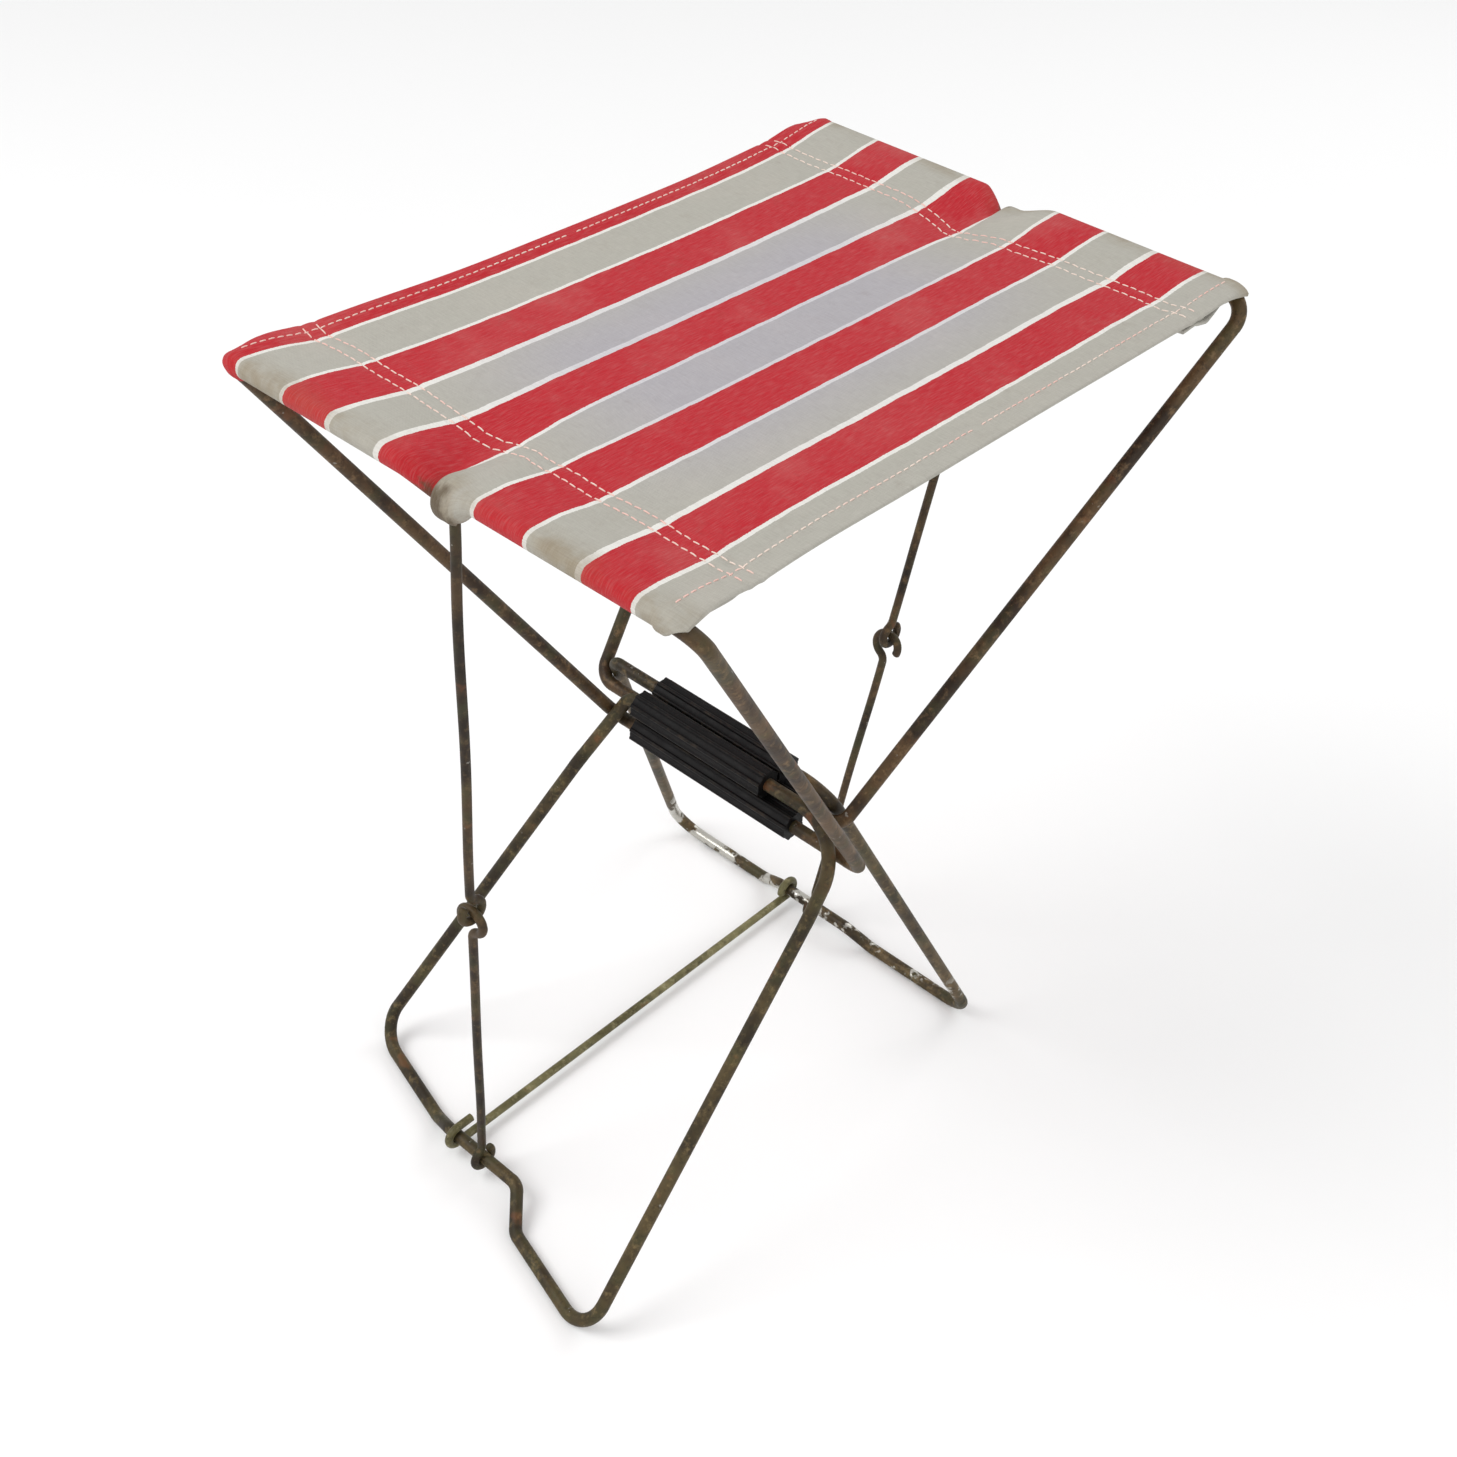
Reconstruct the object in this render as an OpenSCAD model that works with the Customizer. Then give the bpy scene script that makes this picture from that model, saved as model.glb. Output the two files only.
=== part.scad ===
// Folding wire stool: four hoops of round wire turn in a bundle of four ribbed grips.
// X runs along the seat rails, Y from the front rail to the rear rail, Z up from the floor.

/* [Wire] */
// Diameter of the hoop wire
wire_d = 6; // [5.8:0.1:6.1]
// Diameter of the link and tie rods
rod_d = 4; // [3.4:0.2:4]
// Play between an eye and the wire it turns on
eye_play = 0.15; // [0.1:0.05:0.3]

/* [Upper hoops] */
// Length of a seat rail, corner to corner
rail_len = 228; // [222:2:236]
// Length of an upper hoop's short bar, corner to corner
upper_bar_len = 145; // [144:1:150]
// Distance from the short bar to the seat rail
upper_reach = 266; // [260:1:280]
// Angle of the upper hoops above the horizontal
upper_angle = 55; // [53:0.1:56]
// Bend radius at the rail's corners
rail_bend_r = 10; // [8:1:11]
// Depth of the notch in the middle of a rail
notch_depth = 9; // [8:0.5:10]

/* [Lower hoops] */
// Length of a foot, corner to corner
foot_len = 207; // [200:1:212]
// Length of a lower hoop's short bar, corner to corner
lower_bar_len = 127; // [124:1:128]
// Angle of the front lower hoop below the horizontal
front_lower_angle = 58.4; // [57:0.1:60]
// Angle of the rear lower hoop below the horizontal
rear_lower_angle = 61.2; // [58:0.1:62]
// Bend radius at the foot's corners
foot_bend_r = 15; // [12:1:18]
// How far the middle of a foot is raised, to keep the eyes off the floor
kink_height = 9.5; // [9:0.5:10]

/* [Set in use] */
// How far both feet have been pushed to the left
foot_shift = 29; // [20:1:30]
// How far the front hoops' bars have slid to the right in their grips
front_bar_slide = 7; // [0:1:8]
// How far the rear hoops' bars have slid to the left in their grips
rear_bar_slide = 16; // [10:1:16]
// Angle at which the front foot stands out of line
front_foot_skew = 15; // [8:1:15]

/* [Grips] */
// Height of the middle of the grip bundle
hub_z = 197; // [193:1:201]
// Outside diameter over a grip's ribs
grip_d = 13.8; // [13.6:0.1:14.2]
// Ribs around one grip
grip_ribs = 8; // [6:1:10]
// Length of the front upper grip
front_grip_len = 92; // [86:1:92]
// Length of the rear upper grip
rear_grip_len = 84; // [78:1:86]
// Length of the grips on the lower hoops
lower_grip_len = 76; // [68:1:76]
// Play between a grip and the bar that turns in it
grip_play = 0.05; // [0.02:0.01:0.08]

/* [Links and tie] */
// Where a link's middle joint lies, from the rail (0) to the foot (1)
link_split = 0.54; // [0.5:0.01:0.56]
// Distance from a link to the tie rod along the foot
tie_gap = 18; // [16:1:19]
// Length of the tail of the tie's hook
hook_tail = 9; // [4:1:12]

/* [Seat] */
// Width of the canvas along the rails
canvas_w = 206; // [200:1:207]
// Thickness of one layer of canvas
cloth_t = 1; // [0.8:0.1:1.2]
// Width of the sewn pocket around a rail, to the first row of stitches
pocket_w = 27; // [22:1:34]
// Width of a side hem, to its row of stitches
hem_w = 8; // [6:1:12]

/* [Hidden] */
$fn = 48;

FRONT = -1;
REAR = 1;
wire_r = wire_d / 2;
rod_r = rod_d / 2;
half_grip = grip_d / 2;

// Bends at the short bars: each lower hoop has a tight bend at the left and a wide one at the right.
bar_bend_r = 9;
lower_bend_left_r = 5;
front_bend_right_r = 26;
rear_bend_right_r = 17;

// The notch in a rail: half widths of its mouth and floor, and its bend radius.
notch_mouth = 17;
notch_floor = 5;
notch_bend_r = 4;

// The raised middle of a foot: half widths of its root and top, and its bend radius.
kink_root = 38;
kink_top = 23;
kink_bend_r = 8;

// Eyes: the middle line of the one round the wire, of the one at a link's middle, and the neck's radius.
eye_r = wire_r + rod_r + eye_play;
mid_eye_r = rod_r + 2.2;
neck_r = 5;
eye_end = 218;
mid_gap = 1.6;

rail_z = hub_z - half_grip + upper_reach * sin(upper_angle);
rail_y = half_grip + upper_reach * cos(upper_angle);
foot_drop = hub_z + half_grip - wire_r;
kink_z = wire_r + kink_height * sin(front_lower_angle);
notch_y = rail_y - notch_depth * cos(upper_angle);
notch_z = rail_z - notch_depth * sin(upper_angle);

// Stitches: length of one, pitch, thread thickness, and the distance between a casing's two rows.
stitch_len = 3.2;
stitch_pitch = 4.6;
thread_d = 0.5;
row_gap = 5;

casing_play = 0.1;
casing_r = wire_r + casing_play + cloth_t;
casing_tail = 10;
panel_top = rail_z + casing_r;
panel_edge = rail_y - casing_tail;
panel_gap = 0.3;

// The skewed arms are set by a soft bend at this distance from their bars.
set_reach = 40;
set_bend_r = 60;

// The drawn parts are moved along X so that the stool stands centred over the origin.
function corner_inset(r, width, reach) = r * (1 / tan(atan2(reach, width) / 2) - 1);
rear_arm_run = norm([foot_drop, foot_drop / tan(rear_lower_angle)]);
left_end = -foot_shift - foot_len / 2 - wire_r
    + corner_inset(foot_bend_r, foot_shift + foot_len / 2 - rear_bar_slide - lower_bar_len / 2, rear_arm_run);
right_end = rail_len / 2 + wire_r
    - corner_inset(rail_bend_r, rail_len / 2 - front_bar_slide - upper_bar_len / 2, upper_reach);
centre_x = (left_end + right_end) / 2;
module centred() translate([-centre_x, 0, 0]) children();

function unit(v) = v / norm(v);
function bar_x(side) = side == FRONT ? front_bar_slide : -rear_bar_slide;
function lower_angle(side) = side == FRONT ? front_lower_angle : rear_lower_angle;
function foot_y(side) = half_grip + foot_drop / tan(lower_angle(side));
function kink_y(side) = foot_y(side) - kink_height * cos(lower_angle(side));
function foot_point(side, dx, skew) = [dx - foot_shift, side * (foot_y(side) + tan(skew) * dx), wire_r];
function notch(side) = [0, side * notch_y, notch_z];
function kink(side) = [-foot_shift, side * kink_y(side), kink_z];
function link_middle(side) = notch(side) + link_split * (kink(side) - notch(side));

// Corners of the closed hoops, each with its bend radius as the fourth number.
function upper_corners(side) =
    let (
        bar = [side * half_grip, hub_z - half_grip],
        out = [side * cos(upper_angle), sin(upper_angle)],
        at = function(x, reach, r) [x, bar[0] + reach * out[0], bar[1] + reach * out[1], r],
        x0 = bar_x(side),
        floor = upper_reach - notch_depth
    )
    [
        at(x0 - upper_bar_len / 2, 0, bar_bend_r), at(x0 + upper_bar_len / 2, 0, bar_bend_r),
        at(rail_len / 2, upper_reach, rail_bend_r),
        at(notch_mouth, upper_reach, notch_bend_r), at(notch_floor, floor, notch_bend_r),
        at(-notch_floor, floor, notch_bend_r), at(-notch_mouth, upper_reach, notch_bend_r),
        at(-rail_len / 2, upper_reach, rail_bend_r)
    ];
function lower_corners(side) =
    let (
        skew = side == FRONT ? front_foot_skew : 0,
        half = foot_len / 2 * cos(skew),
        on_floor = function(dx, r) concat(foot_point(side, dx, skew), r),
        raised = function(dx) [dx - foot_shift, side * kink_y(side), kink_z, kink_bend_r],
        bar = function(s) [bar_x(side) + s * lower_bar_len / 2, side * half_grip, hub_z + half_grip],
        set = function(s) skew == 0 ? [] :
            [concat(bar(s) + set_reach * unit(foot_point(side, s * half, 0) - bar(s)), set_bend_r)]
    )
    concat(
        [concat(bar(-1), lower_bend_left_r), concat(bar(1), side == FRONT ? front_bend_right_r : rear_bend_right_r)],
        set(1),
        [
            on_floor(half, foot_bend_r), on_floor(kink_root, kink_bend_r),
            raised(kink_top), raised(-kink_top),
            on_floor(-kink_root, kink_bend_r), on_floor(-half, foot_bend_r)
        ],
        set(-1)
    );

// A bend is a little fuller than the straight wire, which runs on into it by a short lap.
bend_swell = 0.05;
lap = 0.3;

// A straight round bar from p to q.
module bar(p, q, d) {
    z = unit(q - p);
    x = unit(abs(z[2]) < 0.9 ? cross([0, 0, 1], z) : cross([0, 1, 0], z));
    y = cross(z, x);
    multmatrix([[x[0], y[0], z[0], p[0]], [x[1], y[1], z[1], p[1]], [x[2], y[2], z[2], p[2]]])
        cylinder(h = norm(q - p), d = d);
}

// A round bend of rod in the XY plane round the origin, from one angle to another.
module arc(r, from, to, d) rotate(from) rotate_extrude(angle = to - from) translate([r, 0]) circle(d = d);

// A round bend about a centre: it starts in direction x from the centre and turns towards y.
module bend(centre, x, y, r, angle, d) {
    z = cross(x, y);
    multmatrix([[x[0], y[0], z[0], centre[0]], [x[1], y[1], z[1], centre[1]], [x[2], y[2], z[2], centre[2]]])
        arc(r, 0, angle, d + 2 * bend_swell);
}

function xyz(c) = [c[0], c[1], c[2]];
function turn(a, b, c) = acos(unit(b - a) * unit(c - b));

// A closed hoop of wire through the corners, with each corner bent to its own radius.
module closed_wire(corners, d) {
    n = len(corners);
    for (i = [0 : n - 1]) {
        a = xyz(corners[(i + n - 1) % n]);
        b = xyz(corners[i]);
        c = xyz(corners[(i + 1) % n]);
        e = xyz(corners[(i + 2) % n]);
        r = corners[i][3];
        u = unit(b - a);
        w = unit(c - b);
        angle = turn(a, b, c);
        inward = unit(w - (u * w) * u);
        start = b - r * tan(angle / 2) * u;
        bend(start + r * inward, -inward, u, r, angle, d);
        leave = b + r * tan(angle / 2) * w;
        arrive = c - corners[(i + 1) % n][3] * tan(turn(b, c, e) / 2) * w;
        bar(leave - lap * w, arrive + lap * w, d);
    }
}

// An eye in the XY plane round the origin, on a rod that comes from -Y.
function neck_drop(r) = sqrt(r * r + 2 * r * neck_r);
module eye(r) {
    lean = acos(neck_r / (r + neck_r));
    arc(r, -lean - lap / r * 180 / PI, eye_end, rod_d);
    translate([neck_r, -neck_drop(r)]) arc(neck_r, 180 - lean, 180, rod_d + 2 * bend_swell);
}

// A rod with an eye at each end, laid from p to q, its eyes turned to take a wire along X.
module eyed_rod(p, q, top_r, bottom_r) {
    y = unit(p - q);
    z = unit([1, 0, 0] - y[0] * y);
    x = cross(y, z);
    multmatrix([[x[0], y[0], z[0], p[0]], [x[1], y[1], z[1], p[1]], [x[2], y[2], z[2], p[2]]]) {
        eye(top_r);
        translate([0, -norm(q - p)]) rotate(180) eye(bottom_r);
        bar([0, lap - neck_drop(top_r), 0], [0, neck_drop(bottom_r) - lap - norm(q - p), 0], rod_d);
    }
}

side_step = [(rod_d + mid_gap) / 2, 0, 0];
module link_upper(side) color([0.34, 0.31, 0.25]) centred()
    eyed_rod(notch(side), link_middle(side) + side_step, eye_r, mid_eye_r);
module link_lower(side) color([0.34, 0.31, 0.25]) centred()
    eyed_rod(link_middle(side) - side_step, kink(side), mid_eye_r, eye_r);

module front_upper_hoop() color([0.32, 0.28, 0.22]) centred() closed_wire(upper_corners(FRONT), wire_d);
module rear_upper_hoop() color([0.32, 0.28, 0.22]) centred() closed_wire(upper_corners(REAR), wire_d);
module front_lower_hoop() color([0.36, 0.32, 0.25]) centred() closed_wire(lower_corners(FRONT), wire_d);
module rear_lower_hoop() color([0.36, 0.32, 0.25]) centred() closed_wire(lower_corners(REAR), wire_d);
module front_link_upper() link_upper(FRONT);
module front_link_lower() link_lower(FRONT);
module rear_link_upper() link_upper(REAR);
module rear_link_lower() link_lower(REAR);

// A ribbed sleeve along X, from x0 to x1, with the bar of a hoop through it.
rib_r = 1.1;
rib_pitch_r = half_grip - 0.02 - rib_r;
module grip(side, z, x0, x1) color([0.09, 0.09, 0.1]) centred()
    translate([x0, side * half_grip, z]) rotate([90, 0, 90]) linear_extrude(x1 - x0) difference() {
        union() {
            circle(r = rib_pitch_r + 0.3);
            for (i = [0 : grip_ribs - 1]) rotate((i + 0.5) * 360 / grip_ribs)
                translate([rib_pitch_r, 0]) circle(r = rib_r);
        }
        circle(r = wire_r + grip_play);
    }

// The grips' ends: the four are nearly flush at the left, and end in steps at the right.
upper_grip_left = -50;
lower_grip_left = -50;
module upper_grip(side, length) grip(side, hub_z - half_grip, upper_grip_left, upper_grip_left + length);
module lower_grip(side) grip(side, hub_z + half_grip, lower_grip_left, lower_grip_left + lower_grip_len);
module front_upper_grip() upper_grip(FRONT, front_grip_len);
module rear_upper_grip() upper_grip(REAR, rear_grip_len);
module front_lower_grip() lower_grip(FRONT);
module rear_lower_grip() lower_grip(REAR);

// The tie runs under both raised wires: a loop round the rear one, an open hook on the front one.
loop_angle = 275;
module tie_rod() color([0.56, 0.55, 0.44]) centred()
    translate([-foot_shift - tie_gap, 0, kink_z]) rotate([90, 0, 90]) {
        translate([kink_y(REAR), 0]) rotate(-90) rotate_extrude(angle = loop_angle) translate([eye_r, 0]) circle(r = rod_r);
        translate([-kink_y(FRONT), -eye_r]) rotate([0, 90, 0]) cylinder(h = kink_y(FRONT) + kink_y(REAR), r = rod_r);
        translate([-kink_y(FRONT), 0]) rotate(90) rotate_extrude(angle = 180) translate([eye_r, 0]) circle(r = rod_r);
        translate([-kink_y(FRONT), eye_r]) rotate([0, 90, 0]) cylinder(h = hook_tail, r = rod_r);
    }

// Canvas: a casing round each rail, open at the notch below, and a flat panel between them.
module casing(side) color([0.72, 0.2, 0.23]) centred() {
    half = canvas_w / 2;
    difference() {
        union() {
            for (s = [-1, 1]) translate([s > 0 ? notch_mouth + 2 : -half, side * rail_y, rail_z])
                rotate([0, 90, 0]) cylinder(h = half - notch_mouth - 2, r = casing_r);
            translate([-half, side > 0 ? rail_y - casing_tail : -rail_y, panel_top - 2 * cloth_t])
                cube([canvas_w, casing_tail, 2 * cloth_t]);
        }
        translate([-half - 1, side * rail_y, rail_z]) rotate([0, 90, 0])
            cylinder(h = canvas_w + 2, r = wire_r + casing_play);
    }
}
module front_casing() casing(FRONT);
module rear_casing() casing(REAR);
module seat_panel() color([0.68, 0.67, 0.64]) centred()
    translate([-canvas_w / 2, -panel_edge + panel_gap, panel_top - 2 * cloth_t])
        cube([canvas_w, 2 * (panel_edge - panel_gap), 2 * cloth_t]);

// A row of stitches lying on the canvas from p to q.
module stitch_row(p, q) {
    count = floor(norm(q - p) / stitch_pitch);
    step = unit(q - p) * stitch_pitch;
    for (i = [0 : count - 1]) bar(p + i * step, p + i * step + unit(q - p) * stitch_len, thread_d);
}
thread_z = panel_top + thread_d / 2 + 0.02;
thread_inset = 2;
module casing_thread(side) color("white") centred() for (row = [0, 1]) {
    y = side * (rail_y - pocket_w - row * row_gap);
    stitch_row([-canvas_w / 2 + thread_inset, y, thread_z], [canvas_w / 2 - thread_inset, y, thread_z]);
}
module hem_thread(s) color("white") centred() {
    x = s * (canvas_w / 2 - hem_w);
    y = panel_edge - thread_inset;
    stitch_row([x, -y, thread_z + thread_d + 0.05], [x, y, thread_z + thread_d + 0.05]);
}
module front_casing_thread() casing_thread(FRONT);
module rear_casing_thread() casing_thread(REAR);
module left_hem_thread() hem_thread(-1);
module right_hem_thread() hem_thread(1);

front_upper_hoop();
rear_upper_hoop();
front_lower_hoop();
rear_lower_hoop();
front_upper_grip();
rear_upper_grip();
front_lower_grip();
rear_lower_grip();
front_link_upper();
front_link_lower();
rear_link_upper();
rear_link_lower();
tie_rod();
seat_panel();
front_casing();
rear_casing();
front_casing_thread();
rear_casing_thread();
left_hem_thread();
right_hem_thread();
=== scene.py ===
import math
import random

import bmesh
import bpy
import numpy as np
from mathutils import Matrix, Vector


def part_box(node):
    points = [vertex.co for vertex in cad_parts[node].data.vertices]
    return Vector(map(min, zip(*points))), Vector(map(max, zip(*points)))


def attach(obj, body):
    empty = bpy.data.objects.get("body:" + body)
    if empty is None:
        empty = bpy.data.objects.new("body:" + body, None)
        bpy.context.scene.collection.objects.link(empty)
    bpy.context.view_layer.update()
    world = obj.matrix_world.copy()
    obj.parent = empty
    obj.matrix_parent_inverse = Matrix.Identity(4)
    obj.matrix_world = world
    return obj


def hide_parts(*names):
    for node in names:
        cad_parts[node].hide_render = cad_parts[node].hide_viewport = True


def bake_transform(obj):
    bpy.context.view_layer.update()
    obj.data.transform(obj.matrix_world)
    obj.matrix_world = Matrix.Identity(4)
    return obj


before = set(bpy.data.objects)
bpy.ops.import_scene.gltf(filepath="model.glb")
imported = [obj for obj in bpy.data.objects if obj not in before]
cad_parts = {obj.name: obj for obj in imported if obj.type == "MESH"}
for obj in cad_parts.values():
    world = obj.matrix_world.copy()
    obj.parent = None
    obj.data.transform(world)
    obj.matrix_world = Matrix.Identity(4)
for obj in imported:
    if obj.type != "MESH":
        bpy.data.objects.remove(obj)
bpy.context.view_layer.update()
MM = 0.001

# ---------------------------------------------------------------- the rails' place, in mm like all the measures here
CASING_R = 4.1  # outside radius of the CAD's casing around the rail
casing_lo, casing_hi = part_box("front_casing")
MID_X = (casing_lo.x + casing_hi.x) / 2 / MM
RAIL_Y = -casing_lo.y / MM - CASING_R
RAIL_Z = casing_hi.z / MM - CASING_R
SLOPE = math.radians(55.0)  # of the upper hoops above the horizontal


def add_object(name, data):
    """A new object in the scene."""
    obj = bpy.data.objects.new(name, data)
    bpy.context.scene.collection.objects.link(obj)
    return obj


# ---------------------------------------------------------------- camera
# Fitted to the photo's view. The focal length is in pixels of the photo's width.
AZ, EL, ROLL = math.radians(39.5167), math.radians(39.1923), math.radians(-4.2365)
FOCAL_PX, IMAGE_PX, SENSOR = 1975.13, 1457.0, 36.0
AIM_Z, AIM_LEFT, AIM_UP, DISTANCE = 200, 1.9055, 11.9394, 863.6196
back = Vector((math.sin(AZ) * math.cos(EL), -math.cos(AZ) * math.cos(EL), math.sin(EL)))
right = Vector((math.cos(AZ), math.sin(AZ), 0.0))
up = back.cross(right)
row0 = math.cos(ROLL) * right - math.sin(ROLL) * up
row1 = math.sin(ROLL) * right + math.cos(ROLL) * up
place = Vector((MID_X, 0, AIM_Z)) - row0 * AIM_LEFT + row1 * AIM_UP + back * DISTANCE
cam_data = bpy.data.cameras.new("camera")
cam_data.sensor_width = SENSOR
cam_data.lens = SENSOR * FOCAL_PX / IMAGE_PX
cam_data.clip_start, cam_data.clip_end = 0.05, 50.0
camera = add_object("camera", cam_data)
camera.matrix_world = Matrix((
    (row0.x, row1.x, back.x, place.x * MM),
    (row0.y, row1.y, back.y, place.y * MM),
    (row0.z, row1.z, back.z, place.z * MM),
    (0, 0, 0, 1),
))
bpy.context.scene.camera = camera


# ---------------------------------------------------------------- node helpers
def linear(*rgb):
    """A screen colour, 0 to 255, as the shader's linear colour."""
    return (*(c / 255 / 12.92 if c <= 10.31 else ((c / 255 + 0.055) / 1.055) ** 2.4 for c in rgb), 1.0)


class Nodes:
    """A short way to write a material's node tree."""

    def __init__(self, name):
        self.mat = bpy.data.materials.new(name)
        self.mat.use_nodes = True
        self.tree = self.mat.node_tree
        self.tree.nodes.clear()
        out = self.add("ShaderNodeOutputMaterial")
        self.shader = self.add("ShaderNodeBsdfPrincipled")
        self.tree.links.new(self.shader.outputs[0], out.inputs["Surface"])

    def add(self, kind, **props):
        n = self.tree.nodes.new(kind)
        for k, v in props.items():
            setattr(n, k, v)
        return n

    def put(self, socket, value):
        if hasattr(value, "is_output"):
            self.tree.links.new(value, socket)
        else:
            socket.default_value = value

    def math(self, op, a, b=0.0):
        n = self.add("ShaderNodeMath", operation=op)
        self.put(n.inputs[0], a)
        self.put(n.inputs[1], b)
        return n.outputs[0]

    def times(self, a, b):
        return self.math("MULTIPLY", a, b)

    def plus(self, a, b):
        return self.math("ADD", a, b)

    def minus(self, a, b):
        return self.math("SUBTRACT", a, b)

    def mix(self, factor, a, b):
        n = self.add("ShaderNodeMix", data_type="RGBA")
        self.put(n.inputs[0], factor)
        self.put(n.inputs[6], a)
        self.put(n.inputs[7], b)
        return n.outputs[2]

    def noise(self, vector, scale, detail=3.0, rough=0.55):
        n = self.add("ShaderNodeTexNoise")
        self.put(n.inputs["Vector"], vector)
        n.inputs["Scale"].default_value = scale
        n.inputs["Detail"].default_value = detail
        n.inputs["Roughness"].default_value = rough
        return n.outputs["Fac"]

    def step(self, value, low, high, a=0.0, b=1.0):
        """A smooth change from a to b as the value goes from low to high."""
        n = self.add("ShaderNodeMapRange", interpolation_type="SMOOTHSTEP")
        self.put(n.inputs["Value"], value)
        n.inputs["From Min"].default_value, n.inputs["From Max"].default_value = low, high
        n.inputs["To Min"].default_value, n.inputs["To Max"].default_value = a, b
        return n.outputs["Result"]

    def split(self, vector):
        n = self.add("ShaderNodeSeparateXYZ")
        self.put(n.inputs[0], vector)
        return n.outputs

    def bump(self, height, strength, distance):
        n = self.add("ShaderNodeBump")
        n.inputs["Strength"].default_value = strength
        n.inputs["Distance"].default_value = distance
        self.put(n.inputs["Height"], height)
        self.tree.links.new(n.outputs[0], self.shader.inputs["Normal"])

    def stretched(self, vector, scale):
        n = self.add("ShaderNodeMapping")
        self.put(n.inputs[0], vector)
        n.inputs["Scale"].default_value = scale
        return n.outputs[0]

    def set(self, **values):
        for k, v in values.items():
            self.put(self.shader.inputs[k.replace("_", " ")], v)


# ---------------------------------------------------------------- materials
def wire_material(name, dark, mid, tan, plating=0.0, shine=0.5):
    """Old plated wire: the plating has mostly turned to a mottled brown, with rubbed and bright patches."""
    m = Nodes(name)
    pos = m.add("ShaderNodeTexCoord").outputs["Object"]
    broad = m.noise(pos, 38, 4)
    patch = m.noise(pos, 130, 5, 0.62)
    grain = m.noise(pos, 900, 3)
    base = m.mix(m.step(broad, 0.38, 0.62), dark, mid)
    base = m.mix(m.step(m.noise(pos, 70, 3, 0.55), 0.46, 0.66, 0, 0.45), base, linear(66, 66, 38))
    base = m.mix(m.step(m.noise(pos, 230, 5, 0.65), 0.5, 0.74, 0, 0.5), base, tan)
    base = m.mix(m.step(m.noise(pos, 330, 4, 0.7), 0.5, 0.72, 0, 0.5), base, linear(22, 15, 8))
    base = m.mix(m.step(m.noise(pos, 75, 3), 0.62, 0.72, 0, 0.45), base, linear(112, 66, 36))
    bright = m.step(m.noise(pos, 210, 4, 0.6), 0.68, 0.73, 0, 0.3)
    if plating:
        low = m.step(m.split(pos)[2], 0.046, 0.030)
        left = m.step(m.split(pos)[0], 0.0, -0.05, 0.0, 0.09)
        kept = m.plus(m.noise(pos, 60, 4, 0.65), left)
        bright = m.math("MAXIMUM", bright, m.times(low, m.step(kept, 0.56, 0.62, 0, plating)))
    base = m.mix(bright, base, linear(196, 194, 186))
    metal = m.plus(m.times(bright, 0.7), 0.08)
    rough = m.minus(m.plus(m.times(patch, 0.3), shine - 0.1), m.times(bright, 0.22))
    height = m.plus(m.times(patch, 0.7), m.times(grain, 0.3))
    m.set(Base_Color=base, Metallic=metal, Roughness=rough)
    m.shader.inputs["Specular IOR Level"].default_value = 0.3
    m.bump(height, 0.5, 0.0005)
    return m.mat


def grip_material(name, y, z):
    """Ribbed black sleeve around an axis at y and z, its rib crests tinted brown, partly as rubbed wear and partly as
    a painted highlight, and its grooves dusty.
    """
    m = Nodes(name)
    pos = m.add("ShaderNodeTexCoord").outputs["Object"]
    out = m.split(pos)
    dy = m.minus(out[1], y * MM)
    dz = m.minus(out[2], z * MM)
    radius = m.math("SQRT", m.plus(m.times(dy, dy), m.times(dz, dz)))
    crest = m.step(radius, 0.00655, 0.00688)
    groove = m.step(radius, 0.0063, 0.0058)
    # Brown on the rib crests: partly rubbed wear, partly a painted highlight where the crests catch the light.
    crest_wear_and_highlight = m.times(crest, m.step(m.noise(pos, 170, 5, 0.7), 0.44, 0.72))
    tint = m.mix(m.step(m.noise(pos, 60, 3), 0.35, 0.65), linear(5, 4, 4), linear(11, 8, 9))
    tint = m.mix(m.times(groove, 0.35), tint, linear(10, 10, 10))
    tint = m.mix(m.times(crest_wear_and_highlight, 0.4), tint, linear(72, 60, 46))
    tint = m.mix(m.step(m.noise(pos, 420, 3), 0.62, 0.78, 0, 0.16), tint, linear(66, 58, 46))
    m.set(Base_Color=tint, Roughness=m.plus(m.times(m.noise(pos, 240, 4), 0.3), 0.34), Metallic=0.0)
    m.shader.inputs["Specular IOR Level"].default_value = 0.16
    m.bump(m.noise(pos, 1100, 3), 0.25, 0.0002)
    return m.mat


# ---------------------------------------------------------------- canvas: measures and material
THICK = 0.8
WRAP_R = 3.0 + 0.12 + THICK / 2  # middle of the cloth around the 6 mm wire
# The path s along the cloth, from the cut end of the flap: flap, under side of the casing, wrap around the rail, top.
FLAP, LOWER, WRAP = 8.0, 28.5, 13.0
TOP_S = FLAP + LOWER + WRAP
PATH = TOP_S + RAIL_Y
# White lines of the weave, along X from the middle, and the colours between them.
LINES = [-102.2, -77.2, -52.6, -27.6, -3.9, 19.2, 43.0, 66.9, 90.4]
LINE_W = 2.1
BAND_W = 228.0  # width over which the stripes are laid out
WARP_PITCH, WEFT_PITCH = 0.00078, 0.00062  # in metres
RED, GREY, WHITE = linear(176, 20, 34), linear(169, 166, 160), linear(238, 236, 233)


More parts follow.
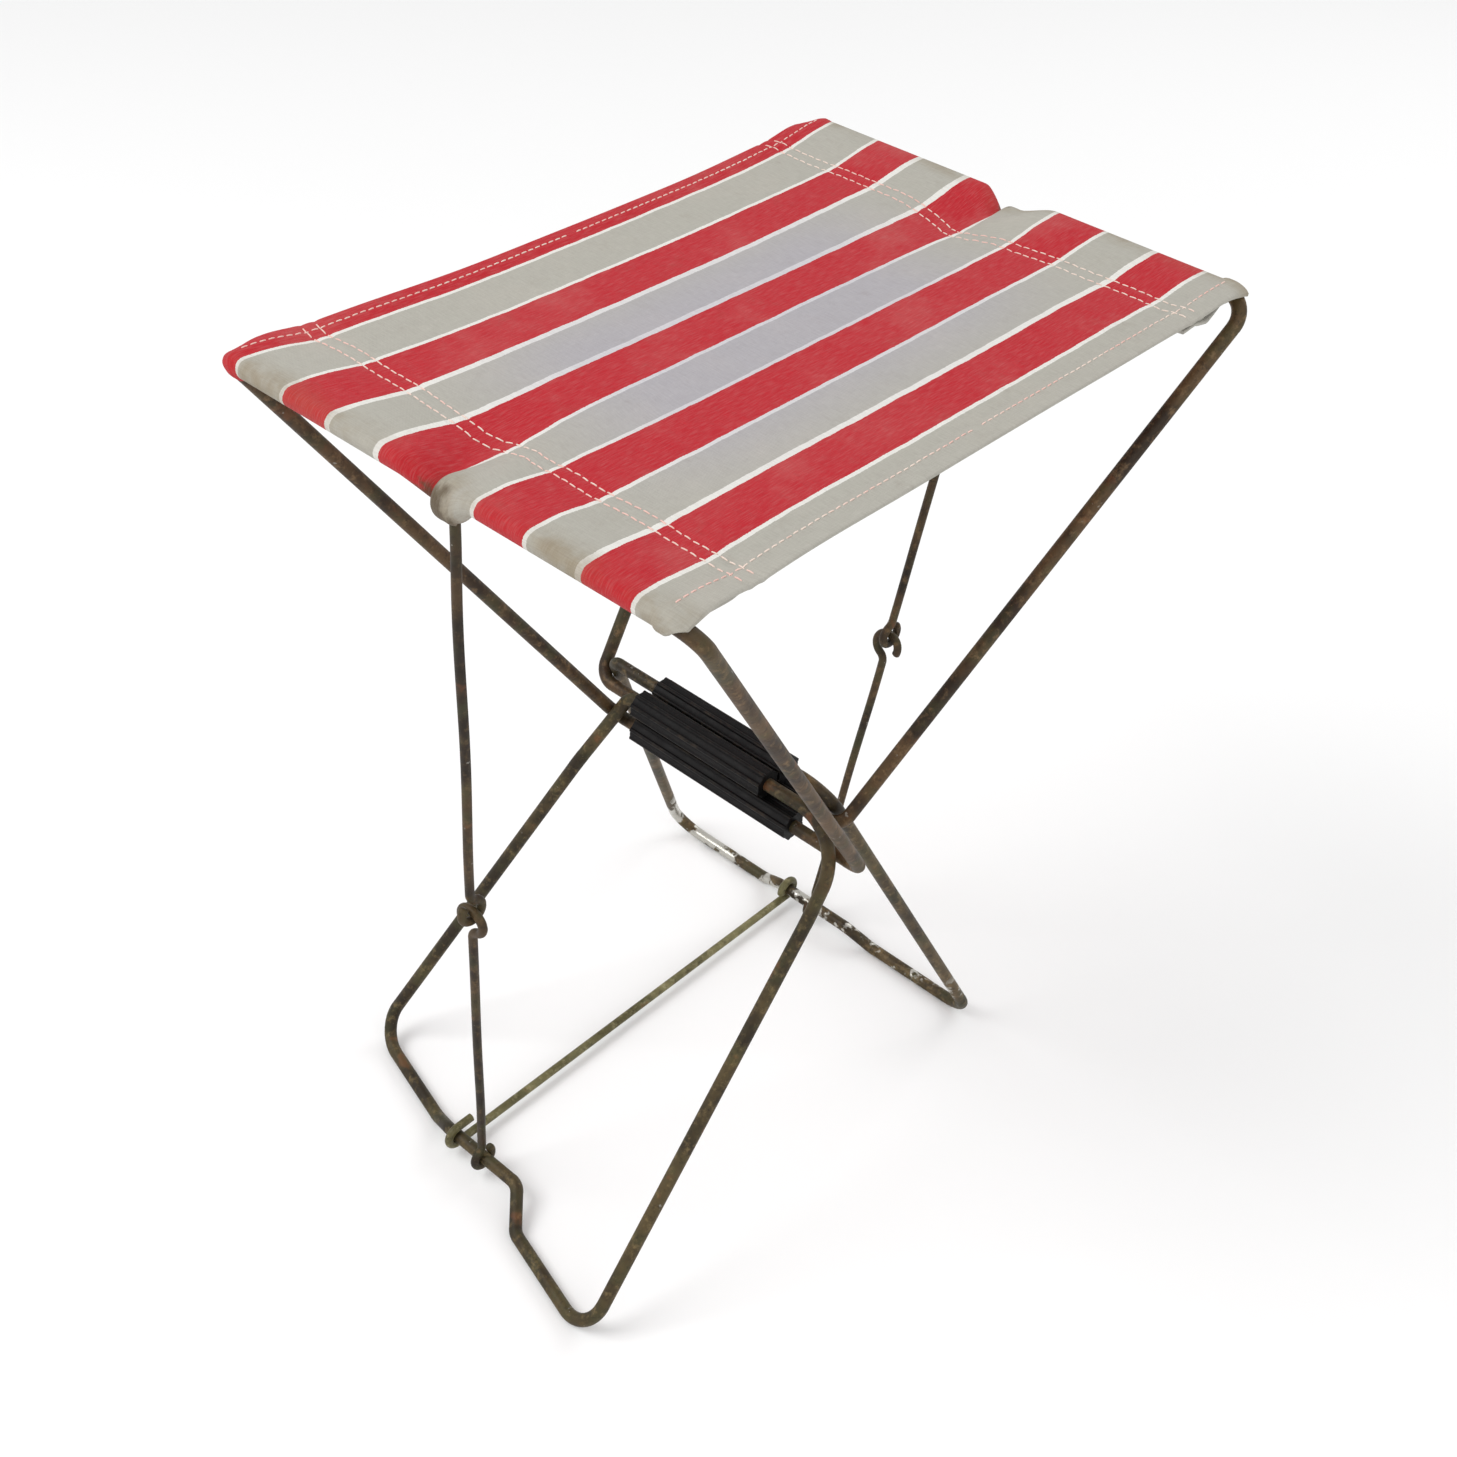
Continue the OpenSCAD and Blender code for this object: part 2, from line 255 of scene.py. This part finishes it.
def canvas_material():
    """Striped canvas. UV.x is the place across the stripes and UV.y the path along the whole cloth, in metres."""
    m = Nodes("striped_canvas")
    uv = m.add("ShaderNodeUVMap", uv_map="cloth").outputs[0]
    x, whole, _ = m.split(uv)
    y = m.minus(PATH * MM, m.math("ABSOLUTE", m.minus(whole, PATH * MM)))
    waver = m.times(m.minus(m.noise(uv, 90, 3), 0.5), 0.0012)
    fuzz = m.times(m.minus(m.noise(uv, 1500, 2), 0.5), 0.0006)
    place_x = m.plus(m.plus(x, waver), fuzz)
    ramp = m.add("ShaderNodeValToRGB")
    ramp.color_ramp.interpolation = "CONSTANT"
    at = lambda mm: (mm + BAND_W / 2) / BAND_W
    stops = [(0.0, RED)]
    for i, line in enumerate(LINES):
        stops += [(at(line - LINE_W / 2), WHITE), (at(line + LINE_W / 2), GREY if i % 2 == 0 else RED)]
    band = ramp.color_ramp.elements
    band[0].position, band[0].color = stops[0]
    band[1].position, band[1].color = stops[1]
    for p, c in stops[2:]:
        band.new(p).color = c
    m.put(ramp.inputs[0], m.times(m.plus(place_x, BAND_W / 2 * MM), 1 / (BAND_W * MM)))
    color = ramp.outputs["Color"]
    redness = m.split(color)
    is_red = m.step(m.minus(redness[0], redness[1]), 0.15, 0.3)

    # The grey is bluer in the middle of the seat and greener towards its edges; all of it fades and soils unevenly.
    middle = m.times(m.step(m.math("ABSOLUTE", x), 0.085, 0.03), m.step(y, 0.07, 0.15))
    cloudy = m.noise(uv, 22, 4, 0.6)
    color = m.mix(m.times(m.minus(1.0, is_red), m.times(middle, 0.6)), color, linear(160, 157, 168))
    edge_tint = m.times(m.minus(1.0, middle), m.times(m.minus(1.0, is_red), 0.3))
    color = m.mix(edge_tint, color, linear(160, 160, 142))
    color = m.mix(m.step(cloudy, 0.45, 0.75, 0, 0.07), color, linear(212, 196, 184))
    color = m.mix(m.step(m.noise(uv, 60, 5, 0.7), 0.56, 0.8, 0, 0.2), color, linear(108, 86, 70))
    # Soiling along the rail, and the patch rubbed by the eye under the notch.
    near_rail = m.times(m.step(y, 0.030, 0.040), m.step(y, 0.060, 0.046))
    soil = m.times(near_rail, m.step(m.noise(uv, 34, 4, 0.65), 0.42, 0.66, 0.12, 0.62))
    soil = m.times(soil, m.minus(1.0, m.times(is_red, 0.75)))
    color = m.mix(soil, color, linear(128, 110, 78))
    dx = m.times(m.plus(x, 0.002), 1 / 0.010)
    dy = m.times(m.minus(y, 0.0400), 1 / 0.009)
    rub = m.plus(m.plus(m.times(dx, dx), m.times(dy, dy)), m.times(m.minus(m.noise(uv, 260, 4), 0.5), 2.2))
    color = m.mix(m.step(rub, 1.2, 0.3, 0, 0.85), color, linear(78, 64, 44))
    color = m.mix(m.step(m.noise(uv, 700, 3, 0.7), 0.66, 0.76, 0, 0.22), color, linear(92, 74, 62))

    warp = m.math("SINE", m.times(x, 2 * math.pi / WARP_PITCH))
    weft = m.math("SINE", m.times(y, 2 * math.pi / WEFT_PITCH))
    weave = m.times(warp, weft)
    slub_x = m.noise(m.stretched(uv, (1.0, 14.0, 1.0)), 160, 3)
    slub_y = m.noise(m.stretched(uv, (14.0, 1.0, 1.0)), 160, 3)
    color = m.mix(m.step(slub_x, 0.35, 0.7, 0, 0.12), color, linear(70, 40, 40))
    color = m.mix(m.step(slub_y, 0.4, 0.72, 0, 0.05), color, linear(235, 228, 222))
    height = m.plus(m.times(weave, 0.22), m.plus(m.times(slub_x, 0.6), m.times(slub_y, 0.5)))
    m.set(Base_Color=color, Roughness=0.86, Metallic=0.0)
    m.shader.inputs["Sheen Weight"].default_value = 0.04
    m.shader.inputs["Sheen Roughness"].default_value = 0.5
    m.shader.inputs["Specular IOR Level"].default_value = 0.25
    m.bump(height, 0.4, 0.0004)
    return m.mat


def thread_material():
    m = Nodes("sewing_thread")
    pos = m.add("ShaderNodeTexCoord").outputs["Object"]
    twist = m.noise(pos, 1800, 2)
    tint = m.mix(m.step(m.noise(pos, 30, 3), 0.4, 0.6), linear(226, 186, 176), linear(226, 208, 196))
    tint = m.mix(m.step(m.noise(pos, 240, 4), 0.55, 0.75, 0, 0.5), tint, linear(190, 150, 140))
    m.set(Base_Color=tint, Roughness=0.8)
    m.bump(twist, 0.5, 0.0002)
    return m.mat


WIRES = {name: wire_material("wire_" + name, linear(*dark), linear(*mid), linear(*tan), plating, shine)
         for name, dark, mid, tan, plating, shine in (
             ("upper", (44, 31, 17), (84, 63, 38), (142, 114, 80), 0.0, 0.5),
             ("front_lower", (40, 31, 16), (78, 65, 38), (134, 114, 76), 0.0, 0.5),
             ("rear_lower", (42, 33, 18), (84, 68, 42), (142, 120, 84), 0.9, 0.46),
             ("links", (34, 25, 14), (70, 53, 32), (116, 92, 60), 0.0, 0.52),
             ("tie", (84, 78, 48), (124, 118, 82), (166, 158, 122), 0.0, 0.4),
         )}


def give(node, mat):
    """A CAD node's new material."""
    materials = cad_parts[node].data.materials
    materials.clear()
    materials.append(mat)


for n, wire in (("front_upper_hoop", "upper"), ("rear_upper_hoop", "upper"), ("front_lower_hoop", "front_lower"),
                ("rear_lower_hoop", "rear_lower"), ("tie_rod", "tie")):
    give(n, WIRES[wire])
for n in ("front_upper_grip", "rear_upper_grip", "front_lower_grip", "rear_lower_grip"):
    lo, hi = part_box(n)
    give(n, grip_material("rubber_" + n, (lo.y + hi.y) / 2 / MM, (lo.z + hi.z) / 2 / MM))

# ---------------------------------------------------------------- canvas: shape
JOIN = 33.0  # from the rail to where the under side meets the top
EDGE_LEFT, EDGE_RIGHT = 113.2, 110.5
HEM_LEFT, HEM_RIGHT = 8.0, 11.0
HEM_LIFT = 0.9  # the top lies this much over its own hem
BEND_X, BEND_OUT = 102.5, 13.5  # start and radius of the cloth's bend at a rail's corner
NOTCH_DEEP, NOTCH_MOUTH, NOTCH_FLOOR = 9.0, 17, 5  # depth and half widths
LUMP = 4.25  # the link's eye pushes the cloth out this much
TOP_COVER = 3.2
STEP_DOWN, SAG = 3.1, 1.5  # the top's drop behind the rail, and its sag in the middle of the seat
SLANT = 0.09  # how the valley behind the notch drifts sideways
HOLE_HALF, HOLE_FROM, HOLE_TO = 6.6, FLAP + 7, FLAP + LOWER + 3.2  # opening under the notch for the link's eye
PULL_IN = 0.042
STITCH_ROWS = (29.5, 35.5)  # distance behind the rail


def smooth(a, b, v):
    t = np.clip((v - a) / (b - a), 0, 1)
    return t * t * (3 - 2 * t)


# The wire's notch, rounded, as a table of depth by place.
TABLE_X = np.linspace(-40, 40, 801)
SHARE = np.clip((NOTCH_MOUTH - np.abs(TABLE_X)) / (NOTCH_MOUTH - NOTCH_FLOOR), 0, 1)
TABLE_D = np.convolve(np.pad(NOTCH_DEEP * SHARE, 12, mode="edge"), np.ones(25) / 25, mode="valid")


def rail_section(x):
    """The wrap's centre, as a depth below the rail in the hoop's plane, and its radius.

    It is snug on the wire, with a lump over the link's eye, and right of the notch it bridges the wire's slope.
    """
    w = np.interp(x, TABLE_X, TABLE_D) / NOTCH_DEEP
    dip = NOTCH_DEEP * w - 0.7 * 4 * w * (1 - w)
    radius = WRAP_R + 0 * x
    ride_over = TOP_COVER * (1 - smooth(2.5, 19.0, x))
    bridge = dip * math.sin(SLOPE) + WRAP_R - ride_over
    radius = np.where(x > 0.5, np.maximum(radius, bridge), radius)
    radius = np.maximum(radius, WRAP_R + LUMP * np.exp(-((np.abs(x - 0.3) / 4.0) ** 4)))
    dx = np.clip(np.abs(x) - BEND_X, 0, 11.2)
    return dip + BEND_OUT - np.sqrt(BEND_OUT ** 2 - dx ** 2), radius


def edge_scale(x, s, wide):
    """The casing's under side is narrower where the hoop's arm leaves it."""
    low = np.interp(s, [0, 16, 33, 40, TOP_S - 2.5, TOP_S], [wide, wide - 0.06, 0.28, 0.28, 1.0, 1.0])
    left = np.where(x < -100, -100 + (x + 100) * low, x)
    return np.where(left > 100, 100 + (left - 100) * low, left)


def section(x, side, s):
    """y and z of one half of the cloth at the places x, at s along the path, as they are for the front half."""
    depth, r = rail_section(x)
    cy = -RAIL_Y + depth * math.cos(SLOPE)
    cz = RAIL_Z - depth * math.sin(SLOPE)
    top0 = RAIL_Z + WRAP_R
    join_y, join_z = -RAIL_Y + JOIN, top0 - STEP_DOWN - THICK - 0.1 + 0 * x
    valley_x = -6.5 - SLANT * JOIN
    join_z = join_z - 3.6 * np.exp(-(np.abs(x - valley_x) / 13.0) ** 1.8)
    ty, tz = join_y - cy, join_z - cz
    dist = np.hypot(ty, tz)
    low_angle = np.arctan2(tz, ty) - (math.pi / 2 - np.arcsin(np.clip(r / dist, -1, 1)))
    turn = low_angle + 1.5 * math.pi
    if s <= FLAP:
        k = s / FLAP
        y = np.full_like(x, join_y + (1 - k) * FLAP)
        return y, join_z - 0.3 * (1 - k) - (1 - k) * (0.5 * np.sin(x * 0.19 + side) + 0.5)
    if s <= FLAP + LOWER:
        k = (s - FLAP) / LOWER
        ly, lz = cy + r * np.cos(low_angle), cz + r * np.sin(low_angle)
        return join_y + (ly - join_y) * k, join_z + (lz - join_z) * k - 0.5 * math.sin(math.pi * k)
    if s <= TOP_S:
        a = low_angle - turn * (s - FLAP - LOWER) / WRAP
        return cy + r * np.cos(a), cz + r * np.sin(a)
    d = s - TOP_S
    y = cy * (1 - d / RAIL_Y)
    fade = 1 - float(smooth(70, RAIL_Y - 6, d))
    z = top0 - STEP_DOWN * float(smooth(1, 36, d)) - SAG * math.sin(math.pi / 2 * float(smooth(20, RAIL_Y, d)))
    near = math.exp(-((d / 9.0) ** 1.5))
    width = 7.5 + 0.26 * d
    valley = -6.6 * math.exp(-((d / 50.0) ** 1.7)) * np.exp(-(np.abs(x + 6.0 + SLANT * d) / width) ** 1.7)
    z = z + (cz + r - top0) * near + valley * (1 - near)
    z = z + 0.45 * np.sin(x * 0.125 + side * 1.3) * math.sin(math.pi * min(1, d / 60)) * math.exp(-d / 55)
    z = z + 0.3 * np.sin(x * 0.055 + d * 0.045 + side) * smooth(10, 60, d) * fade
    for row in STITCH_ROWS:
        z = z - (0.34 + 0.14 * np.sin(x * 0.9 + row)) * np.exp(-((d - row_place(x, row, side)) / 1.3) ** 2)
    puff = (0.35 + 0.3 * np.sin(x * 0.21 + 2 * side)) * (1 - smooth(20, 4, np.abs(x)))
    return y, z + math.exp(-((d - 15) / 10.0) ** 2) * puff


def row_place(x, row, side):
    """Where a row of casing stitches runs, a little unevenly."""
    return row + 0.9 * np.sin(x * 0.045 + side) + 0.45 * np.sin(x * 0.17 + row)


def path_steps():
    """Places along the path where the mesh has a row, closer on the wrap and behind the rail."""
    a = np.linspace(0, FLAP, 6)
    b = np.linspace(FLAP, FLAP + LOWER, 16)[1:]
    c = np.linspace(FLAP + LOWER, TOP_S, 21)[1:]
    d = TOP_S + np.concatenate([np.linspace(0, 46, 62)[1:], np.linspace(46, RAIL_Y, 40)[1:]])
    return np.concatenate([a, b, c, d])


STEPS = path_steps()


HEM_STEPS, FOLD_STEPS = 7, 5


def across():
    """Steps across the cloth: hem, fold, top, fold, hem. Gives the place x and the height over the hem's layer."""
    left, far = -EDGE_LEFT, EDGE_RIGHT
    half = HEM_LIFT / 2
    xs, hs = list(np.linspace(left + HEM_LEFT, left + 0.6, HEM_STEPS)), [0.0] * HEM_STEPS
    for a in np.radians(np.linspace(-90, -270, FOLD_STEPS + 2)[1:-1]):
        xs.append(left + 0.5 + 0.5 * math.cos(a))
        hs.append(half + half * math.sin(a))
    marks = [left + 0.6, -96, -26, -9, 9, 26, 95, far - 0.6]
    counts = [13, 35, 17, 36, 17, 35, 13]
    top = [np.linspace(a, b, n, endpoint=False) for a, b, n in zip(marks, marks[1:], counts)]
    for x in np.concatenate(top + [marks[-1:]]):
        over_left = 1 - float(smooth(left + HEM_LEFT - 0.8, left + HEM_LEFT + 1.4, x))
        over_right = float(smooth(far - HEM_RIGHT - 1.4, far - HEM_RIGHT + 0.8, x))
        xs.append(x)
        hs.append(HEM_LIFT * over_left + HEM_LIFT * over_right)
    for a in np.radians(np.linspace(90, -90, FOLD_STEPS + 2)[1:-1]):
        xs.append(far - 0.5 + 0.5 * math.cos(a))
        hs.append(half + half * math.sin(a))
    xs += list(np.linspace(far - 0.6, far - HEM_RIGHT, HEM_STEPS))
    return np.array(xs), np.array(hs + [0.0] * HEM_STEPS)


ACROSS, LIFT = across()
FIRST_TOP, LAST_TOP = HEM_STEPS + FOLD_STEPS, len(ACROSS) - 1 - HEM_STEPS - FOLD_STEPS


def pull_in(x, y):
    """The side edges draw in between the rails."""
    return x * (1 - PULL_IN * np.clip(1 - (np.abs(y) / RAIL_Y) ** 3, 0, 1))


def grid(side):
    """Points and normals of the middle of one half of the cloth. side is -1 at the front and 1 at the rear."""
    rows = []
    for s in STEPS:
        x = edge_scale(ACROSS, s, 0.72 if side < 0 else 1.0)
        y, z = section(x, side, float(s))
        rows.append(np.stack([pull_in(x, np.minimum(np.abs(y), RAIL_Y)) + MID_X, -side * y, z], axis=1))
    p = np.array(rows)
    flat_x = np.zeros_like(p)
    flat_x[..., 0] = 1
    along = np.gradient(p, axis=0)
    flat_x[:, FIRST_TOP:LAST_TOP + 1] = np.gradient(p[:, FIRST_TOP:LAST_TOP + 1], axis=1)
    n = np.cross(flat_x, along) * (-side)
    n /= np.maximum(np.linalg.norm(n, axis=2, keepdims=True), 1e-9)
    lift = LIFT[None, :, None] * np.where(STEPS > FLAP, 1.0, 0.6)[:, None, None]
    return p + n * lift, n


def in_hole(i, j):
    """Whether a face of the mesh lies in the opening for the link's eye."""
    return FIRST_TOP < i < LAST_TOP and abs(ACROSS[i]) < HOLE_HALF and HOLE_FROM < STEPS[j] < HOLE_TO


def build_half(name, side):
    """One half of the cloth, as a closed mesh with its thickness."""
    p = GRIDS[side][0]
    rows, w = p.shape[:2]
    verts = (p.reshape(-1, 3) * MM).tolist()
    faces = []
    for j in range(rows - 1):
        for i in range(w - 1):
            if in_hole(i, j):
                continue
            a, b, c, d = j * w + i, j * w + i + 1, (j + 1) * w + i + 1, (j + 1) * w + i
            faces.append((a, b, c, d) if side < 0 else (a, d, c, b))
    mesh = bpy.data.meshes.new(name)
    mesh.from_pydata(verts, [], faces)
    layer = mesh.uv_layers.new(name="cloth")
    for loop in mesh.loops:
        j, i = divmod(loop.vertex_index, w)
        v = STEPS[j] if side < 0 else 2 * PATH - STEPS[j]
        layer.data[loop.index].uv = (ACROSS[i] * MM, v * MM)
    work = bmesh.new()
    work.from_mesh(mesh)
    bmesh.ops.delete(work, geom=[v for v in work.verts if not v.link_faces], context="VERTS")
    work.to_mesh(mesh)
    work.free()
    obj = add_object(name, mesh)
    solid = obj.modifiers.new("solid", "SOLIDIFY")
    solid.thickness = THICK * MM
    solid.offset = 0.0
    bpy.context.view_layer.update()
    done = bpy.data.meshes.new_from_object(obj.evaluated_get(bpy.context.evaluated_depsgraph_get()))
    obj.modifiers.clear()
    obj.data = done
    done.name = name
    done.shade_smooth()
    done.set_sharp_from_angle(angle=math.radians(50))
    done.materials.clear()
    done.materials.append(CANVAS)
    return obj


GRIDS = {side: grid(side) for side in (-1, 1)}
CANVAS = canvas_material()
THREAD = thread_material()
canvas = {-1: build_half("canvas_front", -1), 1: build_half("canvas_rear", 1)}


# ---------------------------------------------------------------- tubes: stitches and rods
def tube(points, radii, sides):
    """Vertices and faces of a closed tube through the points. Its ring turns as little as possible on the way."""
    pts = [Vector(p) for p in points]
    n = len(pts)
    dirs = [(pts[min(i + 1, n - 1)] - pts[max(i - 1, 0)]).normalized() for i in range(n)]
    side = dirs[0].cross(Vector((0.3, 0.2, 1))).normalized()
    verts, faces = [], []
    for p, d, r in zip(pts, dirs, radii):
        side = (side - d * side.dot(d)).normalized()
        over = d.cross(side)
        turns = [2 * math.pi * k / sides for k in range(sides)]
        verts += [p + (side * math.cos(a) + over * math.sin(a)) * r for a in turns]
    for i in range(n - 1):
        for k in range(sides):
            a, b = i * sides + k, i * sides + (k + 1) % sides
            faces.append((a, b, b + sides, a + sides))
    faces.append(tuple(range(sides - 1, -1, -1)))
    faces.append(tuple((n - 1) * sides + k for k in range(sides)))
    return [tuple(v) for v in verts], faces


THREAD_R = 0.28
CASING_STITCH, CASING_PITCH = 2.9, 3.9
HEM_STITCH, HEM_PITCH = 2.5, 3.6


def top_point(x, side, d, lift):
    """A point on the cloth's upper face, lift mm above it."""
    p, n = GRIDS[side]
    i = float(np.interp(x, ACROSS[FIRST_TOP:LAST_TOP + 1], np.arange(FIRST_TOP, LAST_TOP + 1)))
    j = float(np.interp(TOP_S + d, STEPS, np.arange(len(STEPS))))
    i0, j0 = min(int(i), LAST_TOP - 1), min(int(j), len(STEPS) - 2)
    fi, fj = i - i0, j - j0
    between = lambda g, j: g[j, i0] * (1 - fi) + g[j, i0 + 1] * fi
    at = lambda g: between(g, j0) * (1 - fj) + between(g, j0 + 1) * fj
    return tuple((at(p) + at(n) * (THICK / 2 + lift)) * MM)


def stitches(name, side, runs):
    """One piece of many stitches. Each run is a pair of places (x, d), where a stitch dives into the cloth."""
    verts, faces = [], []
    for a, b in runs:
        pts = [top_point(a[0] + (b[0] - a[0]) * k, side, a[1] + (b[1] - a[1]) * k, lift)
               for k, lift in ((0.0, -0.25), (0.1, 0.05), (0.5, 0.13), (0.9, 0.05), (1.0, -0.25))]
        v, f = tube(pts, [THREAD_R * MM * q for q in (0.6, 1, 1.05, 1, 0.6)], 6)
        faces += [tuple(i + len(verts) for i in q) for q in f]
        verts += v
    mesh = bpy.data.meshes.new(name)
    mesh.from_pydata(verts, [], faces)
    mesh.shade_smooth()
    mesh.materials.append(THREAD)
    obj = add_object(name, mesh)
    return obj


def run_along_x(side, row, seed):
    """Places of a casing's row of stitches."""
    rng = random.Random(seed)
    out, x = [], -EDGE_LEFT + 2.5
    while x < EDGE_RIGHT - 4.5:
        end = x + CASING_STITCH + rng.uniform(-0.25, 0.25)
        end_place = float(row_place(end, row, side)) + rng.uniform(-0.15, 0.15)
        out.append(((x, float(row_place(x, row, side))), (end, end_place)))
        x += CASING_PITCH
    return out


def run_along_y(x, seed):
    """Places of a side hem's row of stitches on one half."""
    rng = random.Random(seed)
    out, d = [], 3.0
    while d < RAIL_Y - 2.6:
        out.append(((x + rng.uniform(-0.15, 0.15), d), (x + rng.uniform(-0.15, 0.15), d + HEM_STITCH)))
        d += HEM_PITCH
    return out


SEAMS = {}
for side, word in ((-1, "front"), (1, "rear")):
    double_row = run_along_x(side, STITCH_ROWS[0], 3 + side) + run_along_x(side, STITCH_ROWS[1], 7 + side)
    SEAMS[side] = [
        stitches("casing_stitches_" + word, side, double_row),
        stitches("left_hem_stitches_" + word, side, run_along_y(-EDGE_LEFT + HEM_LEFT - 2.2, 11 + side)),
        stitches("right_hem_stitches_" + word, side, run_along_y(EDGE_RIGHT - HEM_RIGHT + 2.4, 17 + side)),
    ]

# ---------------------------------------------------------------- link rods
# Rods, and the middle lines of their bends: eye on the hoop's wire, neck, upper rod's hook, lower rod's loop.
ROD_R, EYE_R, NECK_R, HOOK_R, LOOP_R = 2.0, 5.15, 5.0, 5.3, 6.4
EYE_OUT = EYE_R + ROD_R
EYE_TURN, HOOK_TURN, LOOP_TURN = 275, 285, 262  # in degrees
SPLIT, FOOT_SHIFT = 0.54, 29.0  # the middle joint's share of the way down, and the feet's shift, as in part.scad


def eye(centre, out, across_, radius, sweep):
    """Points of an eye in the end of a rod, from its neck, where the rod leaves along out, to its cut end."""
    reach = math.sqrt((radius + NECK_R) ** 2 - NECK_R ** 2)
    at = lambda u, v: centre + out * u + across_ * v
    start = math.degrees(math.atan2(-NECK_R, reach))
    neck = np.radians(np.linspace(90, 180 + start, 7))
    ring = np.radians(np.linspace(start, start - sweep, 30)[1:])
    return ([at(reach + NECK_R * math.cos(a), -NECK_R + NECK_R * math.sin(a)) for a in neck]
            + [at(radius * math.cos(a), radius * math.sin(a)) for a in ring])


def worn_in(p, side, joints):
    """How far a rod is out of true at a point: nothing at its joints."""
    fade = min(1.0, *(abs(p.z - j.z) / 40 for j in joints))
    return Vector((0.35 * math.sin(p.z * 0.035 + side), 0.3 * math.sin(p.z * 0.05), 0)) * fade


def link_rods(side, word):
    """The two rods of a link, hooked through each other: the upper hook stands across the rails, the loop along."""
    lo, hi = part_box(word + "_link_upper")
    top = Vector((MID_X, (lo.y / MM + EYE_OUT) if side < 0 else (hi.y / MM - EYE_OUT), hi.z / MM - EYE_OUT))
    lo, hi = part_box(word + "_link_lower")
    foot_y = (hi.y / MM - EYE_OUT) if side < 0 else (lo.y / MM + EYE_OUT)
    foot = Vector((MID_X - FOOT_SHIFT, foot_y, lo.z / MM + EYE_OUT))
    middle = top + (foot - top) * SPLIT
    x = Vector((1, 0, 0))
    down = Vector((0, (foot - top).y, (foot - top).z)).normalized()
    over = x.cross(down)
    along = (foot - top).normalized()
    flat_x = (x - along * x.dot(along)).normalized()
    upper = eye(top, down, over * side, EYE_R, EYE_TURN)[::-1] + eye(middle, -down, over * side, HOOK_R, HOOK_TURN)
    loop = eye(middle + along * LOOP_R, along, flat_x * side, LOOP_R, LOOP_TURN)
    lower = loop[::-1] + eye(foot, -down, over * -side, EYE_R, EYE_TURN)
    for part, pts in (("upper", upper), ("lower", lower)):
        full = []
        for a, b in zip(pts[:-1], pts[1:]):
            n = max(1, int((b - a).length / 9))
            full += [a + (b - a) * (k / n) for k in range(n)]
        full.append(pts[-1])
        first = full[0] + (full[0] - full[1]).normalized() * 0.5
        last = full[-1] + (full[-1] - full[-2]).normalized() * 0.5
        line = [first] + [p + worn_in(p, side, (top, middle, foot)) for p in full] + [last]
        name = word + "_link_" + part + "_rod"
        cut_r = ROD_R * 0.72 * MM
        v, f = tube([p * MM for p in line], [cut_r] + [ROD_R * MM] * len(full) + [cut_r], 14)
        mesh = bpy.data.meshes.new(name)
        mesh.from_pydata(v, [], f)
        mesh.shade_smooth()
        mesh.set_sharp_from_angle(angle=math.radians(50))
        mesh.materials.append(WIRES["links"])
        obj = add_object(name, mesh)
        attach(obj, word + "_link_" + part)
        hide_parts(word + "_link_" + part)


for side, word in ((-1, "front"), (1, "rear")):
    link_rods(side, word)

# ---------------------------------------------------------------- canvas and stitches baked in place, the CAD's cloth and threads hidden
for side, word in ((-1, "front"), (1, "rear")):
    for o in [canvas[side]] + SEAMS[side]:
        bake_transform(o)
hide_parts("front_casing", "seat_panel")
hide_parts("rear_casing")
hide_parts("front_casing_thread")
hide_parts("rear_casing_thread")
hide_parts("left_hem_thread")
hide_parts("right_hem_thread")

# ---------------------------------------------------------------- floor and light
floor_mesh = bpy.data.meshes.new("floor")
floor_mesh.from_pydata([(-6, -6, 0), (6, -6, 0), (6, 6, 0), (-6, 6, 0)], [], [(0, 1, 2, 3)])
floor = add_object("floor", floor_mesh)
floor.location.z = -0.0002
paper = Nodes("floor")
paper.set(Base_Color=(0.9, 0.9, 0.9, 1.0), Roughness=0.9)
paper.shader.inputs["Specular IOR Level"].default_value = 0.1
floor_mesh.materials.append(paper.mat)

world = bpy.data.worlds.new("world")
world.use_nodes = True
world.node_tree.nodes["Background"].inputs[0].default_value = (1.0, 1.0, 1.0, 1.0)
world.node_tree.nodes["Background"].inputs[1].default_value = 0.75
bpy.context.scene.world = world


def area(name, place, target, size, power):
    """A square soft light, in metres and watts, turned to the target."""
    data = bpy.data.lights.new(name, "AREA")
    data.shape = "SQUARE"
    data.size = size
    data.energy = power
    obj = add_object(name, data)
    obj.location = place
    obj.rotation_mode = "QUATERNION"
    obj.rotation_quaternion = (Vector(target) - Vector(place)).to_track_quat("-Z", "Y")


area("key", (-0.9, -1.3, 1.9), (0, 0, 0.25), 1.2, 26)
area("fill", (1.7, -0.6, 1.1), (0, 0, 0.25), 1.5, 9)
area("rim", (0.3, 1.9, 1.5), (0, 0, 0.3), 1.2, 9)
bpy.context.scene.view_settings.view_transform = "Standard"
bpy.context.scene.view_settings.look = "None"
